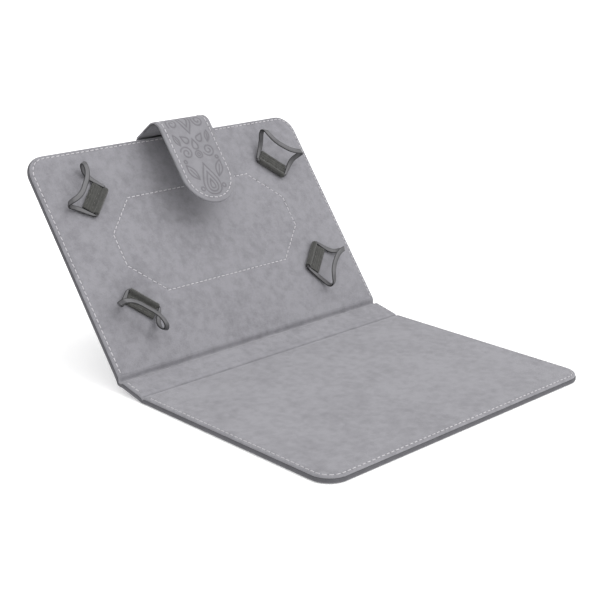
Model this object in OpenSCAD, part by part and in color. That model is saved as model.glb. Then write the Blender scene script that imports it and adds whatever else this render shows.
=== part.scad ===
// Folding tablet case: front cover, spine, reclined back panel with four
// spring-loaded corner clips, a closing strap and a fold-out stand leg.
// Origin: middle of the front cover's underside. +Y points to the back panel.

/* [Case] */
// Width of the case along the folds
case_w = 265; // [250:1:280]
// Depth of the front cover, fold to free edge
cover_d = 184; // [180:0.5:185]
// Height of the back panel, fold to free edge
panel_d = 180; // [178:0.5:182]
// Distance between the two folds
spine_d = 27.5; // [25:0.5:30]
// Radius of the four outer corners
corner_r = 16; // [10:1:22]

/* [Layers] */
// Thickness of the outer skin
skin_t = 1.0; // [0.8:0.1:1.2]
// Thickness of the stiffening board
board_t = 2.4; // [2.2:0.1:2.8]
// Thickness of the padded suede lining
lining_t = 1.6; // [1.4:0.1:2]
// Width of the skin's turned edge around each board
turn_w = 2.6; // [2:0.2:4]
// Distance of the edge seam from the outer edge
seam_in = 3; // [2.5:0.5:9]

/* [Pose] */
// Rise of the spine above the table
spine_angle = 12; // [10:1:14]
// Recline of the back panel above the table
panel_angle = 53; // [50:1:56]
// Lean of the stand leg away from the vertical
leg_lean = 22; // [18:1:26]

/* [Clips] */
// Across-panel distance of each clip bar from the panel's middle
clip_u = 86; // [80:1:88]
// Up-panel distance of each clip bar from the clips' centre line
clip_v = 40; // [38:0.5:42]
// Height of the clips' centre line above the fold
clip_mid_v = 94.5; // [92:0.5:96]
// Width of the elastic webbing
web_w = 24.4; // [22:0.2:25]
// Radius of the clip's hinge bar
bar_r = 1.1; // [1:0.05:1.2]
// Width of the clip's flat strip
strip_w = 3.4; // [2.8:0.1:3.8]

/* [Anchor seam] */
// Width of the eight-sided seam
anchor_w = 172; // [164:1:180]
// Height of the eight-sided seam
anchor_h = 78; // [74:1:82]
// Corner cut of the eight-sided seam
anchor_cut = 26; // [20:1:30]

/* [Strap] */
// Width of the closing strap
strap_w = 50; // [44:1:54]
// Height above the fold at which the strap's round tip ends
strap_tip_v = 107; // [100:0.2:110]
// Overall thickness of the strap
strap_t = 2.6; // [2.4:0.1:2.8]

/* [Stand] */
// Width of the stand leg
leg_w = 96; // [80:2:110]
// Height of the leg's hinge above the fold
leg_v = 124; // [120:1:126]

/* [Hidden] */
$fn = 64;

// layers
total_t = skin_t + board_t + lining_t;
lining_z = skin_t + board_t;
axis_z = skin_t / 2;            // the folds bend in the middle of the skin
fold_gap = 0.3;                 // half the slit between two bodies at a fold
fold_slope = tan(46);           // bevel that lets a fold close to a right angle
play = 0.1;                     // room around pieces that drop into a pocket
thread_t = 0.3;                 // how proud a seam stands
thread_w = 0.8;

// fold lines in the side view [y, z]
fold_1 = [cover_d / 2, axis_z];
fold_2 = [
    fold_1[0] + spine_d * cos(spine_angle),
    fold_1[1] + spine_d * sin(spine_angle)
];

// clips
web_t = 1.0;                    // one layer of webbing
bar_play = 0.06;                // running clearance of the hinge bar
bar_lift = 0.34 + bar_r + bar_play + web_t;
tab_l = 11.2;                   // sewn end of the webbing beyond the bar
slit_w = 1.8;
band_in = 36;                   // elastic's length under the lining
CLIP_ANGLES = [45, 135, 225, 315];
anchor_mid_v = 95.5;            // height of the anchor seam's middle above the fold

// closing strap, measured [v, w] in the panel's own frame
closed_gap = spine_d + axis_z * 2;               // outer face to outer face
tail_w = closed_gap + 0.3 + strap_t / 2;         // middle of the strap's tail
root_v = panel_d + 0.2;                          // where the strap leaves its tab
root_w = -strap_t / 2;
root_bend_r = 2.2;
riser_v = root_v + root_bend_r;
tip_bend_r = 9;
split = 9;                                       // half the angle left free at the bend
tail_top_v = riser_v - tip_bend_r;
strap_lining_t = 0.7;
strap_core_t = 0.8;
magnet_r = 8;
magnet_v = strap_tip_v + 18;

// stand leg
patch_t = 1.4;
leg_skin_t = 0.8;
leg_board_t = 2.0;
leg_t = leg_board_t + 2 * leg_skin_t;
leg_corner_r = 14;
leg_axis_w = -(patch_t + 0.4 + leg_t / 2);
leg_axis = [
    fold_2[0] + leg_v * cos(panel_angle) - (leg_axis_w - axis_z) * sin(panel_angle),
    fold_2[1] + leg_v * sin(panel_angle) + (leg_axis_w - axis_z) * cos(panel_angle)
];
leg_l = (leg_axis[1] - leg_t / 2 * sin(leg_lean)) / cos(leg_lean);
ribbon_t = 0.6;
ribbon_w = 14;
ribbon_leg_l = 68;              // along the leg from its hinge
ribbon_v = 58;                  // up the panel from its fold

// colours
skin_c = "#9a98a0";
board_c = "#8d7a62";
suede_c = "#a5a3ab";
thread_c = "#c2c0c6";
web_c = "#55554f";
metal_c = "#3a3a42";

// ---------------------------------------------------------------- frames

// the spine's own frame: y from the cover's fold to the panel's fold
module on_spine() {
    translate([0, fold_1[0], fold_1[1]])
        rotate([spine_angle, 0, 0])
            translate([0, 0, -axis_z]) children();
}

// the panel's own frame: y up the panel from its fold, z from its outer face
module on_panel() {
    translate([0, fold_2[0], fold_2[1]])
        rotate([panel_angle, 0, 0])
            translate([0, 0, -axis_z]) children();
}

// the front cover's own frame: y from the fold to the free edge
module on_cover() {
    translate([0, fold_1[0], 0]) mirror([0, 1, 0]) children();
}

// a clip's own frame on the lining: x outward, y along the hinge bar
module on_corner(angle) {
    on_panel()
        translate([
            sign(cos(angle)) * clip_u,
            clip_mid_v + sign(sin(angle)) * clip_v,
            total_t
        ])
            rotate(angle) children();
}

// the open leg's own frame: y down the leg from its hinge, z to the rear
module on_leg() {
    translate([0, leg_axis[0], leg_axis[1]])
        rotate([-90 + leg_lean, 0, 0]) children();
}

// ---------------------------------------------------------------- shapes

// extrudes a [y, z] outline along x
module along_x(length) {
    translate([-length / 2, 0, 0])
        rotate([90, 0, 90]) linear_extrude(length) children();
}

// plate with square corners at y = 0 and round ones at its far end
module plate_outline(width, depth, radius) {
    translate([-width / 2, 0]) square([width, depth - radius]);
    translate([-width / 2 + radius, 0]) square([width - 2 * radius, depth]);
    for (side = [-1, 1])
        translate([side * (width / 2 - radius), depth - radius]) circle(radius);
}

// the case's outline moved in from its three free edges
module case_outline(depth, inset) {
    plate_outline(case_w - 2 * inset, depth - inset, corner_r - inset);
}

// room that a fold needs, seen from the side
module fold_room(setback) {
    reach = total_t + 1;
    along_x(case_w + 2)
        polygon([
            [-1, -1],
            [fold_gap + setback, -1],
            [fold_gap + setback, axis_z],
            [fold_gap + setback + (reach - axis_z) * fold_slope, reach],
            [-1, reach]
        ]);
}

// one layer of a cover, from height z, cut back at its fold
module layer(depth, inset, z, thickness, setback = 0) {
    difference() {
        translate([0, 0, z]) linear_extrude(thickness) case_outline(depth, inset);
        fold_room(setback);
    }
}

// outer skin: a sheet with its turned edge around the board
module skin(depth) {
    difference() {
        layer(depth, 0, 0, lining_z);
        translate([0, -1, skin_t])
            linear_extrude(board_t + 1)
                plate_outline(case_w - 2 * turn_w, depth - turn_w + 1, corner_r - turn_w);
    }
}

// edge seam on the lining, along the three free edges
module edge_thread(depth) {
    start_y = fold_gap + (total_t - axis_z) * fold_slope + 0.4;
    half = thread_w / 2;
    translate([0, 0, total_t])
        linear_extrude(thread_t)
            difference() {
                case_outline(depth, seam_in - half);
                case_outline(depth, seam_in + half);
                translate([-case_w / 2, -1]) square([case_w, start_y + 1]);
            }
}

// eight-sided outline centred on the panel
module octagon(width, height, cut) {
    x = width / 2;
    y = height / 2;
    translate([0, anchor_mid_v])
        polygon([
            [-x, -y + cut], [-x + cut, -y], [x - cut, -y], [x, -y + cut],
            [x, y - cut], [x - cut, y], [-x + cut, y], [-x, y - cut]
        ]);
}

// ---------------------------------------------------------------- front cover

module front_skin() {
    color(skin_c) on_cover() skin(cover_d);
}

module front_board() {
    color(board_c) on_cover()
        difference() {
            layer(cover_d, turn_w + play, skin_t, board_t, 1);
            translate([0, magnet_v, skin_t - 1])
                cylinder(r = magnet_r + 1 + play, h = 1 + 1.0 + play);
        }
}

module front_lining() {
    color(suede_c) on_cover() layer(cover_d, 0.6, lining_z, lining_t);
}

module front_thread() {
    color(thread_c) on_cover() edge_thread(cover_d);
}

module closure_plate() {
    color("#9a9ca0") on_cover()
        translate([0, magnet_v, skin_t]) cylinder(r = magnet_r + 1, h = 1.0);
}

// ---------------------------------------------------------------- spine

// one layer of the spine, cut back at both of its folds
module spine_layer(inset, z, thickness, setback = 0) {
    difference() {
        translate([-case_w / 2 + inset, 0, z])
            cube([case_w - 2 * inset, spine_d, thickness]);
        fold_room(setback);
        translate([0, spine_d, 0]) mirror([0, 1, 0]) fold_room(setback);
    }
}

module spine_skin() {
    color(skin_c) on_spine()
        difference() {
            spine_layer(0, 0, lining_z);
            translate([-case_w / 2 + turn_w, -1, skin_t])
                cube([case_w - 2 * turn_w, spine_d + 2, board_t + 1]);
        }
}

module spine_board() {
    color(board_c) on_spine() spine_layer(turn_w + play, skin_t, board_t, 1);
}

module spine_lining() {
    color(suede_c) on_spine() spine_layer(0.6, lining_z, lining_t);
}

module spine_thread() {
    start_y = fold_gap + (total_t - axis_z) * fold_slope + 0.4;
    color(thread_c) on_spine()
        for (side = [-1, 1])
            translate([side * (case_w / 2 - seam_in) - thread_w / 2, start_y, total_t])
                cube([thread_w, spine_d - 2 * start_y, thread_t]);
}

// ---------------------------------------------------------------- back panel

module back_skin() {
    color(skin_c) on_panel() skin(panel_d);
}

module back_board() {
    color(board_c)
        difference() {
            on_panel() layer(panel_d, turn_w + play, skin_t, board_t, 1);
            for (angle = CLIP_ANGLES)
                on_corner(angle)
                    translate([-band_in - play, -web_w / 2 - play, -lining_t - web_t - play])
                        cube([band_in + slit_w, web_w + 2 * play, web_t + play + 1]);
        }
}

module back_lining() {
    color(suede_c)
        difference() {
            on_panel() layer(panel_d, 0.6, lining_z, lining_t);
            for (angle = CLIP_ANGLES)
                on_corner(angle)
                    translate([-slit_w / 2, -web_w / 2 - play, -lining_t - 1])
                        cube([slit_w, web_w + 2 * play, lining_t + 2]);
        }
}

module back_thread() {
    color(thread_c) on_panel() edge_thread(panel_d);
}

module anchor_thread() {
    half = thread_w / 2;
    color(thread_c) on_panel()
        translate([0, 0, total_t])
            linear_extrude(thread_t)
                difference() {
                    octagon(anchor_w + thread_w, anchor_h + thread_w, anchor_cut + half);
                    octagon(anchor_w - thread_w, anchor_h - thread_w, anchor_cut - half);
                }
}

// elastic under the lining, from the anchor seam to the clip's slit
module band(angle) {
    color(web_c) on_corner(angle) {
        translate([-band_in, -web_w / 2, -lining_t - web_t])
            cube([band_in + web_t / 2, web_w, web_t]);
        translate([-web_t / 2, -web_w / 2, -lining_t])
            cube([web_t, web_w, lining_t]);
    }
}

module band_top_right() { band(CLIP_ANGLES[0]); }
module band_top_left() { band(CLIP_ANGLES[1]); }
module band_bottom_left() { band(CLIP_ANGLES[2]); }
module band_bottom_right() { band(CLIP_ANGLES[3]); }

// ---------------------------------------------------------------- clips

// sewn webbing end around the clip's hinge bar
module loop(angle) {
    barrel_r = bar_r + bar_play + web_t;
    color(web_c) on_corner(angle)
        difference() {
            union() {
                translate([0, web_w / 2, bar_lift])
                    rotate([90, 0, 0]) cylinder(r = barrel_r, h = web_w);
                translate([0, -web_w / 2, bar_lift - barrel_r])
                    cube([tab_l, web_w, 2 * web_t]);
            }
            translate([0, web_w / 2 + 1, bar_lift])
                rotate([90, 0, 0]) cylinder(r = bar_r + bar_play, h = web_w + 2);
        }
}

module loop_top_right() { loop(CLIP_ANGLES[0]); }
module loop_top_left() { loop(CLIP_ANGLES[1]); }
module loop_bottom_left() { loop(CLIP_ANGLES[2]); }
module loop_bottom_right() { loop(CLIP_ANGLES[3]); }

// Half of the clip's strip, from the hinge bar to the middle of the front bar:
// [outward, sideways, height, turn of its width, half width, half thickness].
arm_y = web_w / 2 + 0.9;
strip_h = strip_w / 2;
HALF_CLIP = [
    [0.0, arm_y - 0.5, bar_lift, 0, 0.9, 0.9],
    [1.2, arm_y + 1.6, bar_lift - 0.2, 40, 1.1, 0.9],
    [5.0, arm_y + 2.7, bar_lift - 0.4, 85, strip_h - 0.3, 0.7],
    [13.0, arm_y + 4.9, bar_lift - 0.4, 102, strip_h, 0.65],
    [20.0, arm_y + 7.1, bar_lift + 0.3, 104, strip_h, 0.65],
    [24.8, arm_y + 8.4, bar_lift + 2.7, 106, strip_h, 0.65],
    [26.6, arm_y + 8.5, bar_lift + 5.9, 108, strip_h, 0.65],
    [24.6, arm_y + 6.9, bar_lift + 9.2, 115, strip_h, 0.65],
    [20.8, arm_y + 3.3, bar_lift + 10.8, 135, strip_h, 0.65],
    [18.4, arm_y - 1.8, bar_lift + 11.0, 160, strip_h, 0.65],
    [17.6, arm_y - 7.2, bar_lift + 10.8, 176, strip_h, 0.65],
    [17.4, 0.0, bar_lift + 10.7, 180, strip_h, 0.65]
];
half_n = len(HALF_CLIP);
CLIP_PATH = concat(
    HALF_CLIP,
    [for (i = [half_n - 2:-1:0])
        let (p = HALF_CLIP[i]) [p[0], -p[1], p[2], 360 - p[3], p[4], p[5]]]
);
clip_steps = 3;
clip_sides = 8;

// smooth value between the middle two of four neighbours
function smooth(a, b, c, d, t) =
    0.5 * (2 * b + (c - a) * t + (2 * a - 5 * b + 4 * c - d) * t * t
        + (3 * b - a - 3 * c + d) * t * t * t);

function path_at(path, s) =
    let (
        last = len(path) - 1,
        i = min(floor(s), last - 1),
        a = path[max(i - 1, 0)],
        d = path[min(i + 2, last)]
    )
    smooth(a, path[i], path[i + 1], d, s - i);

function unit(v) = v / norm(v);

// one cross-section of the strip
function strip_ring(path, s) =
    let (
        here = path_at(path, s),
        ahead = path_at(path, min(s + 0.05, len(path) - 1)),
        behind = path_at(path, max(s - 0.05, 0)),
        run = unit([for (k = [0:2]) ahead[k] - behind[k]]),
        side_0 = [cos(here[3]), sin(here[3]), 0],
        side = unit(side_0 - (side_0 * run) * run),
        face = cross(run, side)
    )
    [for (k = [0:clip_sides - 1])
        let (turn = 360 * (k + 0.5) / clip_sides)
        [here[0], here[1], here[2]]
            + here[4] * cos(turn) * side + here[5] * sin(turn) * face];

// bent strip swept along the clip's path
module clip_strip() {
    count = (len(CLIP_PATH) - 1) * clip_steps;
    rings = [for (i = [0:count]) strip_ring(CLIP_PATH, i / clip_steps)];
    points = [for (ring = rings) each ring];
    walls = [
        for (i = [0:count - 1], k = [0:clip_sides - 1])
            let (a = i * clip_sides, m = (k + 1) % clip_sides)
            each [
                [a + k, a + clip_sides + m, a + m],
                [a + k, a + clip_sides + k, a + clip_sides + m]
            ]
    ];
    caps = [
        [for (k = [0:clip_sides - 1]) k],
        [for (k = [clip_sides - 1:-1:0]) count * clip_sides + k]
    ];
    polyhedron(points, concat(walls, caps));
}

// closed wire-like clip: hinge bar, two arms, two raised ears, front bar
module clip(angle) {
    color(metal_c) on_corner(angle) {
        clip_strip();
        translate([0, arm_y, bar_lift])
            rotate([90, 0, 0]) cylinder(r = bar_r, h = 2 * arm_y);
    }
}

module clip_top_right() { clip(CLIP_ANGLES[0]); }
module clip_top_left() { clip(CLIP_ANGLES[1]); }
module clip_bottom_left() { clip(CLIP_ANGLES[2]); }
module clip_bottom_right() { clip(CLIP_ANGLES[3]); }

// ---------------------------------------------------------------- strap

// outline of the strap's tail from the bend to its round tip
module tail_outline(inset) {
    radius = strap_w / 2 - inset;
    centre_v = strap_tip_v + strap_w / 2;
    translate([-radius, centre_v]) square([2 * radius, tail_top_v - centre_v]);
    translate([0, centre_v]) circle(radius);
}

// side view of the strap bent around [v, w], between two angles
module strap_bend(centre, radius, from, to) {
    reach = radius + strap_t;
    translate(centre)
        intersection() {
            difference() {
                circle(radius + strap_t / 2);
                circle(radius - strap_t / 2);
            }
            polygon([
                [0, 0],
                reach * 1.2 * [cos(from), sin(from)],
                reach * 1.6 * [cos((from + to) / 2), sin((from + to) / 2)],
                reach * 1.2 * [cos(to), sin(to)]
            ]);
        }
}

// sewn-down end of the strap on the panel's outer face
module strap_tab() {
    color(skin_c) on_panel()
        translate([-strap_w / 2, root_v - 36, -strap_t])
            cube([strap_w, 36 - strap_t / 2 - 0.3, strap_t]);
}

// the strap around the panel's top edge, across the closed case's thickness
module strap_riser() {
    bend_w = tail_w - tip_bend_r;
    color(skin_c) on_panel()
        along_x(strap_w) {
            translate([root_v, root_w]) circle(strap_t / 2);
            strap_bend([root_v, root_w + root_bend_r], root_bend_r, -90, 0);
            translate([riser_v - strap_t / 2, root_w + root_bend_r])
                square([strap_t, bend_w - root_w - root_bend_r]);
            strap_bend([tail_top_v, bend_w], tip_bend_r, 0, 45 - split);
        }
}

module strap_outer() {
    outer_t = strap_t - strap_lining_t - strap_core_t;
    color(skin_c) on_panel() {
        translate([0, 0, tail_w + strap_t / 2 - outer_t])
            linear_extrude(outer_t) tail_outline(0);
        along_x(strap_w)
            strap_bend([tail_top_v, tail_w - tip_bend_r], tip_bend_r, 45 + split, 90);
    }
}

module strap_core() {
    color(board_c) on_panel()
        translate([0, 0, tail_w - strap_t / 2 + strap_lining_t])
            linear_extrude(strap_core_t)
                difference() {
                    tail_outline(1);
                    translate([0, magnet_v]) circle(magnet_r + play);
                }
}

module strap_lining() {
    color(suede_c) on_panel()
        translate([0, 0, tail_w - strap_t / 2])
            linear_extrude(strap_lining_t) tail_outline(0);
}

module strap_magnet() {
    color("#b4b4b8") on_panel()
        translate([0, magnet_v, tail_w - strap_t / 2 + strap_lining_t])
            cylinder(r = magnet_r, h = strap_core_t);
}

module strap_thread() {
    seam = 4;
    color(thread_c) on_panel()
        translate([0, 0, tail_w + strap_t / 2])
            linear_extrude(thread_t)
                difference() {
                    tail_outline(seam);
                    tail_outline(seam + thread_w);
                }
}

// ---------------------------------------------------------------- stand

module stand_patch() {
    margin = 12;
    color(skin_c) on_panel()
        translate([0, 0, -patch_t])
            linear_extrude(patch_t)
                octagon(anchor_w + margin, anchor_h + margin, anchor_cut + 3);
}

// the leg's sewn top edge, through which the anchor seam runs
module stand_anchor() {
    low_v = leg_v + leg_t / 2 + 0.4;
    color(skin_c) on_panel()
        translate([-leg_w / 2, low_v, -patch_t - 1.6])
            cube([leg_w, anchor_mid_v + anchor_h / 2 + 6 - low_v, 1.6]);
}

// the leg's outer skin with the rolled edge that its hinge turns on
module leg_skin() {
    color(skin_c) on_leg() {
        along_x(leg_w) circle(leg_t / 2);
        translate([0, 0, leg_t / 2 - leg_skin_t])
            linear_extrude(leg_skin_t) plate_outline(leg_w, leg_l, leg_corner_r);
    }
}

module leg_layer(z, thickness) {
    color(board_c) on_leg()
        translate([0, 0, z])
            linear_extrude(thickness)
                difference() {
                    plate_outline(leg_w, leg_l, leg_corner_r);
                    translate([-leg_w, -1]) square([2 * leg_w, 1 + leg_t / 2 + 0.1]);
                }
}

module leg_board() {
    leg_layer(leg_skin_t - leg_t / 2, leg_board_t);
}

module leg_lining() {
    color(suede_c) leg_layer(-leg_t / 2, leg_skin_t);
}

// tape that stops the leg when it is fully open
module leg_ribbon() {
    on_leg_y = leg_axis[0] + ribbon_leg_l * sin(leg_lean) - leg_t / 2 * cos(leg_lean);
    on_leg_z = leg_axis[1] - ribbon_leg_l * cos(leg_lean) - leg_t / 2 * sin(leg_lean);
    reach = -patch_t - axis_z;
    on_panel_y = fold_2[0] + ribbon_v * cos(panel_angle) - reach * sin(panel_angle);
    on_panel_z = fold_2[1] + ribbon_v * sin(panel_angle) + reach * cos(panel_angle);
    run = [on_leg_y - on_panel_y, on_leg_z - on_panel_z];
    end_room = 0.8;
    color(web_c)
        translate([0, on_panel_y, on_panel_z])
            rotate([atan2(run[1], run[0]), 0, 0])
                translate([-ribbon_w / 2, end_room, -ribbon_t / 2])
                    cube([ribbon_w, norm(run) - 2 * end_room, ribbon_t]);
}

front_skin();
front_board();
front_lining();
front_thread();
closure_plate();
spine_skin();
spine_board();
spine_lining();
spine_thread();
back_skin();
back_board();
back_lining();
back_thread();
anchor_thread();
band_top_right();
band_top_left();
band_bottom_left();
band_bottom_right();
stand_patch();
stand_anchor();
strap_tab();
leg_ribbon();
leg_skin();
leg_board();
leg_lining();
strap_riser();
strap_outer();
strap_core();
strap_lining();
strap_magnet();
strap_thread();
loop_top_right();
loop_top_left();
loop_bottom_left();
loop_bottom_right();
clip_top_right();
clip_top_left();
clip_bottom_left();
clip_bottom_right();
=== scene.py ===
"""Folding tablet case: soft goods, metal clips and their finishes, in metres."""
import logging
import math
from dataclasses import dataclass, replace
from enum import Enum
from typing import Callable, Iterable, Optional, Sequence

import bpy
from mathutils import Matrix, Vector, kdtree, noise


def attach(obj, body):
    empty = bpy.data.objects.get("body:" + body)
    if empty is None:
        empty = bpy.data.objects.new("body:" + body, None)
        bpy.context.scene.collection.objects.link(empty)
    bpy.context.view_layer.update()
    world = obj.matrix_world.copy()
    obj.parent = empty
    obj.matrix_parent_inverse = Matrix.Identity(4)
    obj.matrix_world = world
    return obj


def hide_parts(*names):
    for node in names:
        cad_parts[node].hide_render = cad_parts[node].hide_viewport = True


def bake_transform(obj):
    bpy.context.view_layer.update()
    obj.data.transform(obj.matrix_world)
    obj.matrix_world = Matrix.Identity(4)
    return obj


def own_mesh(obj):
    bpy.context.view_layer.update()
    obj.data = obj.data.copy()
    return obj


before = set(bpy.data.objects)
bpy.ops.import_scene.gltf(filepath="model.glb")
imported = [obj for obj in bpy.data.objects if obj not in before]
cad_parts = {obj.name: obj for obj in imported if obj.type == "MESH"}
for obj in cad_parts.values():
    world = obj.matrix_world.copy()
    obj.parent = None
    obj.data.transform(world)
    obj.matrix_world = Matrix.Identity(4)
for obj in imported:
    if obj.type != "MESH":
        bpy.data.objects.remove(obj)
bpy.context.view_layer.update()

LOG = logging.getLogger("tablet_case")
MM = 0.001
Ring = list[Vector]


# ------------------------------------------------------------------ sizes


@dataclass(frozen=True)
class CaseSizes:
    """Sizes of the whole case in millimetres and degrees."""

    width: float = 265.0
    cover_depth: float = 184.0
    panel_depth: float = 180.0
    spine_depth: float = 27.5
    corner_r: float = 16.0
    skin_t: float = 1.0
    board_top: float = 3.4
    total_t: float = 5.0
    axis_z: float = 0.5
    spine_angle: float = 12.0
    panel_angle: float = 53.0
    fold_setback: float = 5.0
    seam_in: float = 3.0
    pitch: float = 4.4
    anchor_v: float = 95.5
    anchor_w: float = 172.0
    anchor_h: float = 78.0
    anchor_cut: float = 26.0
    clip_x: float = 86.0
    clip_v: float = 94.5
    clip_dv: float = 40.0
    leg_v: float = 124.0
    leg_w: float = -3.6
    leg_lean: float = 22.0

    def turned(self, degrees: float) -> Matrix:
        """Return a turn about the X axis."""
        return Matrix.Rotation(math.radians(degrees), 4, "X")

    def cover(self) -> Matrix:
        """Return the front cover's frame: y runs from its fold to its free edge."""
        return Matrix.Translation((0, self.cover_depth / 2, 0)) @ Matrix.Rotation(math.pi, 4, "Z")

    def fold_one(self) -> Matrix:
        """Return the frame of the fold between cover and spine, flat with the cover."""
        return Matrix.Translation((0, self.cover_depth / 2, 0))

    def spine(self) -> Matrix:
        """Return the spine's frame: y runs from the cover's fold to the panel's fold."""
        at = Matrix.Translation((0, self.cover_depth / 2, self.axis_z))
        return at @ self.turned(self.spine_angle) @ Matrix.Translation((0, 0, -self.axis_z))

    def fold_two(self) -> Matrix:
        """Return the frame of the fold between spine and panel, flat with the spine."""
        return self.spine() @ Matrix.Translation((0, self.spine_depth, 0))

    def panel(self) -> Matrix:
        """Return the panel's frame: y up from its fold, z from its outer face."""
        hinge = self.fold_two() @ Vector((0, 0, self.axis_z))
        turn = self.turned(self.panel_angle)
        return Matrix.Translation(hinge) @ turn @ Matrix.Translation((0, 0, -self.axis_z))

    def leg(self) -> Matrix:
        """Return the open leg's frame: y down from its hinge, z to the rear."""
        hinge = self.panel() @ Vector((0, self.leg_v, self.leg_w))
        return Matrix.Translation(hinge) @ self.turned(self.leg_lean - 90)


SIZES = CaseSizes()


# ------------------------------------------------------------------ mesh tools


def smoothstep(t: float) -> float:
    """Return a value that eases from 0 to 1."""
    t = max(0.0, min(1.0, t))
    return t * t * (3 - 2 * t)


def circle(radius: float, sides: int) -> list[tuple[float, float]]:
    """Return points around a circle about the origin."""
    turns = [2 * math.pi * k / sides for k in range(sides)]
    return [(radius * math.cos(a), radius * math.sin(a)) for a in turns]


def start_clean() -> None:
    """Leave edit mode and deselect everything."""
    if bpy.context.object and bpy.context.object.mode != "OBJECT":
        bpy.ops.object.mode_set(mode="OBJECT")
    bpy.ops.object.select_all(action="DESELECT")


def pick(piece: bpy.types.Object) -> None:
    """Make one piece the only selected and active one."""
    start_clean()
    piece.select_set(True)
    bpy.context.view_layer.objects.active = piece


def loft(name: str, rings: Sequence[Ring], marks: Sequence[float] = ()) -> bpy.types.Object:
    """Skin a row of closed rings from a grid that is rolled up and capped.

    Args:
        name: name of the piece.
        rings: cross-sections in order, all with the same number of points.
        marks: a value for each point of a ring, which a finish can darken by.

    Returns:
        The piece, with a UV map in millimetres around and along it.
    """
    rows = len(rings)
    sides = len(rings[0])
    start_clean()
    bpy.ops.mesh.primitive_grid_add(x_subdivisions=sides, y_subdivisions=rows - 1, size=2)
    piece = bpy.context.object
    piece.name = piece.data.name = name
    mark = piece.data.attributes.new("mark", "FLOAT", "POINT") if marks else None
    for vertex in piece.data.vertices:
        i = round((vertex.co.x + 1) / 2 * sides)
        j = round((vertex.co.y + 1) / 2 * (rows - 1))
        vertex.co = rings[j][i % sides]
        if mark:
            mark.data[vertex.index].value = marks[i % sides]
    middle = rings[len(rings) // 2]
    around = sum((middle[k] - middle[k - 1]).length for k in range(sides))
    starts = [ring[0] for ring in rings]
    along = sum((b - a).length for a, b in zip(starts, starts[1:]))
    for corner in piece.data.uv_layers.active.data:
        corner.uv = (corner.uv[0] * around, corner.uv[1] * along)
    bpy.ops.object.mode_set(mode="EDIT")
    bpy.ops.mesh.select_all(action="SELECT")
    bpy.ops.mesh.remove_doubles(threshold=1e-5)
    bpy.ops.mesh.select_all(action="SELECT")
    bpy.ops.mesh.fill_holes(sides=0)
    bpy.ops.mesh.select_all(action="SELECT")
    bpy.ops.mesh.normals_make_consistent(inside=False)
    bpy.ops.object.mode_set(mode="OBJECT")
    return piece


def joined(name: str, pieces: Sequence[bpy.types.Object]) -> bpy.types.Object:
    """Join several pieces into one, which keeps the first piece's place."""
    pick(pieces[0])
    for piece in pieces[1:]:
        piece.select_set(True)
    bpy.ops.object.join()
    whole = bpy.context.object
    whole.name = whole.data.name = name
    return whole


def slits(piece: bpy.types.Object, places: Iterable[Matrix], size: Vector) -> None:
    """Cut narrow slits through a piece with a boolean modifier."""
    cutters = []
    for place in places:
        start_clean()
        bpy.ops.mesh.primitive_cube_add(size=1)
        cutter = bpy.context.object
        cutter.data.transform(place @ Matrix.Diagonal(size).to_4x4())
        cutters.append(cutter)
    cutter = joined("cutter", cutters)
    pick(piece)
    cut = piece.modifiers.new("slits", "BOOLEAN")
    cut.object = cutter
    bpy.ops.object.modifier_apply(modifier=cut.name)
    bpy.data.objects.remove(cutter)


def walk(points: Sequence[Vector], pitch: float) -> list[tuple[Vector, Vector]]:
    """Return even places along a line.

    Args:
        points: the line's corners.
        pitch: wanted distance between places, which is fitted to the length.

    Returns:
        (place, direction) at the middle of each stitch.
    """
    spans = [(b - a).length for a, b in zip(points, points[1:])]
    total = sum(spans)
    count = max(1, round(total / pitch))
    found = []
    k = 0
    passed = 0.0
    for n in range(count):
        target = (n + 0.5) * total / count
        while passed + spans[k] < target and k < len(spans) - 1:
            passed += spans[k]
            k += 1
        share = (target - passed) / spans[k]
        found.append((points[k].lerp(points[k + 1], share), (points[k + 1] - points[k]).normalized()))
    return found


@dataclass(frozen=True)
class Stitch:
    """One visible stitch of a seam, in millimetres."""

    length: float = 3.1
    radius: float = 0.42
    sink: float = 0.12

    def template(self) -> bpy.types.Object:
        """Return a capsule lying along Z, made from a small ball."""
        start_clean()
        bpy.ops.mesh.primitive_uv_sphere_add(segments=6, ring_count=5, radius=self.radius)
        capsule = bpy.context.object
        for vertex in capsule.data.vertices:
            shift = self.length / 2 - self.radius
            vertex.co.z += math.copysign(shift, vertex.co.z)
        return capsule

    def seam(self, name: str, lines: Sequence[Sequence[Vector]], up: float = 1.0) -> bpy.types.Object:
        """Lay copies of the stitch along lines in a flat frame.

        Args:
            name: name of the seam.
            lines: the seam's lines.
            up: 1 for a seam seen from +Z and -1 for one seen from -Z.

        Returns:
            All the stitches as one piece.
        """
        first = self.template()
        copies = []
        for line in lines:
            for n, (place, run) in enumerate(walk(line, SIZES.pitch)):
                copy = first.copy()
                copy.data = first.data.copy()
                bpy.context.collection.objects.link(copy)
                turn = run.to_track_quat("Z", "Y").to_matrix().to_4x4()
                yaw = Matrix.Rotation(0.05 * math.sin(n * 2.4) + 0.05, 4, "Z")
                lift = Vector((0, 0, up * (self.radius * 0.55 - self.sink)))
                copy.data.transform(Matrix.Translation(place + lift) @ yaw @ turn)
                copies.append(copy)
        bpy.data.objects.remove(first)
        return joined(name, copies)

    def sew(self, name: str, lines: Sequence[Sequence[Vector]], place: Matrix, body: str,
            replaced: Sequence[str] = (), up: float = 1.0) -> None:
        """Lay a seam of the case's thread and settle it on a body."""
        settle(self.seam(name, lines, up), place, THREAD, body, replaced, 60)


# ------------------------------------------------------------------ finishes


class Coords(Enum):
    """What a finish's pattern is tied to."""

    OBJECT = "Object"
    UV = "UV"


Colour = tuple[float, float, float]


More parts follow.
